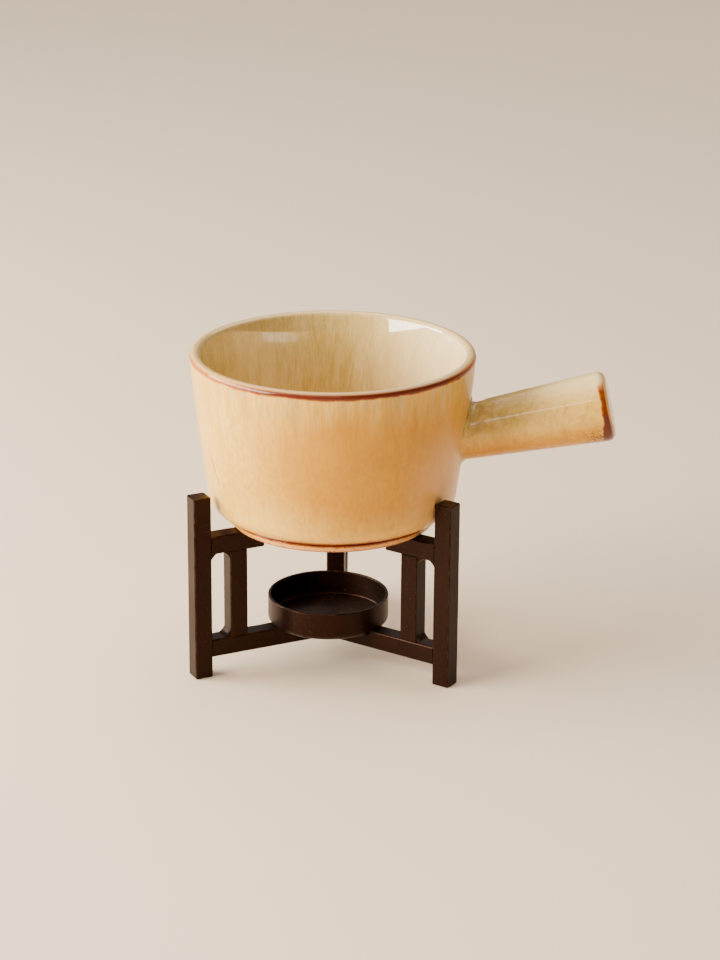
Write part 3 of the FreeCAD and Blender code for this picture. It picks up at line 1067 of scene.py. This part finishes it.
def make_paint():
    tree, given, result = new_group(
        "satin_paint",
        {"Place": "Vector", "Wear": "Float"},
        {"Color": "Color", "Roughness": "Float", "Height": "Float"},
    )
    place = given["Place"]
    grain = noise(tree, place, scale=2600.0, detail=2.0, roughness=0.6)
    clouds = noise(tree, place, scale=60.0)
    chips = noise(tree, place, scale=330.0, detail=4.0, roughness=0.65)
    colour = blend(tree, rise(tree, clouds, 0.3, 0.7), PAINT_DARK, PAINT_LIGHT)
    speck = rise(tree, noise(tree, place, scale=1500.0, detail=1.0), 0.70, 0.78)
    colour = blend(tree, times(tree, speck, PAINT_SPECK_AMOUNT), colour, PAINT_SPECK)
    worn = times(tree, given["Wear"], rise(tree, chips, 0.38, 0.62), WORN_AMOUNT)
    rough = plus(tree, PAINT_ROUGHNESS, minus(tree, clouds, 0.5), PAINT_ROUGHNESS_SPREAD)
    fill(tree, result, {
        "Color": blend(tree, worn, colour, WORN_BROWN),
        "Roughness": minus(tree, rough, times(tree, given["Wear"], WORN_SMOOTHER)),
        "Height": plus(tree, times(tree, grain, 0.5), clouds, 0.4),
    })
    return tree


def paint_surface(tree, shader, place, wear):
    painted = use_group(tree, paint, {"Place": place, "Wear": wear})
    fill(tree, shader, {
        "Base Color": painted["Color"], "Roughness": painted["Roughness"],
        "Normal": bump(tree, painted["Height"], strength=0.30, distance=0.06),
    })
    return painted["Color"]


paint = make_paint()
print("paint group:", len(paint.nodes), "nodes")

# %% [markdown]
# ## The bars' finish
# On bar, paint wears first along the edges. A Bevel node or an ambient occlusion node could find
# them, at a cost in every render. The bars' edges are rounded, so their normals tell as much: the
# normal of a flat face lies along one axis of its leg, and the normal of a rounded edge doesn't.
# A Mapping node turns the normal into the leg's own frame first.

# %% Edge finder
EDGE_TURN = (0.015, 0.12)      # how far the normal leaves an axis, from flat to edge


def make_edge_finder():
    """1 on a bar's rounded edges and 0 on its flats, from a normal turned into the leg's frame."""
    tree, given, result = new_group("rounded_edges", {"Normal": "Vector"}, {"Edge": "Float"})
    sizes = split(tree, vector_calc(tree, "ABSOLUTE", given["Normal"]))
    largest = larger(tree, larger(tree, sizes[0], sizes[1]), sizes[2])
    fill(tree, result, {"Edge": rise(tree, minus(tree, 1.0, largest), *EDGE_TURN)})
    return tree


edge_finder = make_edge_finder()
print("edge finder:", len(edge_finder.nodes), "nodes")


# %% Bar material
def make_bar_material(side, turn):
    material, tree, shader = new_material(f"bar_paint_{side}", **STEEL_SHADER)
    facing = add(tree, "ShaderNodeTexCoord")["Normal"]
    to_leg = {"Vector": facing, "Rotation": (0, 0, -math.radians(turn))}
    turned = add(tree, "ShaderNodeMapping", to_leg, vector_type="VECTOR")[0]
    edge = use_group(tree, edge_finder, {"Normal": turned})["Edge"]
    paint_surface(tree, shader, object_place(tree), edge)
    return material


def dress(node, material):
    """Give a CAD node its finish through its object's material slots."""
    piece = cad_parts[node]
    for slot in piece.material_slots:
        slot.link = "OBJECT"
        slot.material = material


for side, turn in LEG_TURNS.items():
    bar_material = make_bar_material(side, turn)
    for part in ("outer_post", "inner_post", "upper_arm", "lower_arm"):
        dress(f"{part}_{side}", bar_material)
    welds[side].data.materials.append(bar_material)
print("bars dressed:", 4 * len(LEG_TURNS))

# %% [markdown]
# ## The dish's finish
# The dish wears on its lip and in its inner corner, where tealights scrape it, and soot and wax
# dust lie on its floor. A layer of loose grains would be real geometry that nobody sees, so the
# dust is a speckled tint, held to the floor by masks of height and radius.

# %% Dish material
DUST_TINT, DUST_AMOUNT = (0.19, 0.135, 0.09, 1), 0.9


def make_dish_material():
    material, tree, shader = new_material("dish_paint", **STEEL_SHADER)
    place = object_place(tree)
    mm = in_mm(tree, place)
    z, radius = split(tree, mm)["Z"], vector_calc(tree, "LENGTH", upright(tree, mm, 0))
    lip = times(tree, rise(tree, z, DISH_LIP - 0.5, DISH_LIP - 0.1), 0.8)
    inner_corner = times(
        tree, rise(tree, radius, DISH_RADIUS - 2.9, DISH_RADIUS - 1.9),
        rise(tree, z, DISH_FLOOR + 1.0, DISH_FLOOR + 0.3), 0.5,
    )
    painted = paint_surface(tree, shader, place, larger(tree, lip, inner_corner))
    on_floor = times(
        tree, rise(tree, z, DISH_FLOOR + 0.5, DISH_FLOOR + 0.2),
        rise(tree, z, DISH_BASE + 0.5, DISH_BASE + 1.0),
        rise(tree, radius, DISH_RADIUS - 2, DISH_RADIUS - 5),
    )
    dust = rise(tree, noise(tree, place, scale=1300.0, roughness=0.75), 0.56, 0.70)
    spread = rise(tree, noise(tree, place, scale=45.0, detail=2.0), 0.35, 0.62)
    dusty = times(tree, on_floor, dust, spread, DUST_AMOUNT)
    fill(tree, shader, {"Base Color": blend(tree, dusty, painted, DUST_TINT)})
    return material


dish.data.materials.append(make_dish_material())
print("dish finish on", dish.name)

# %% [markdown]
# ## The tacks' finish
# The tacks carry the same paint. A round drop has no edges to wear, so it wears in patches.


# %% Tack material
def make_tack_material():
    material, tree, shader = new_material("weld_paint", **STEEL_SHADER)
    place = object_place(tree)
    patches = rise(tree, noise(tree, place, scale=500.0, detail=2.0), 0.5, 0.7)
    paint_surface(tree, shader, place, times(tree, patches, 0.6))
    return material


tacks.data.materials.append(make_tack_material())
print("tack finish on", tacks.name)
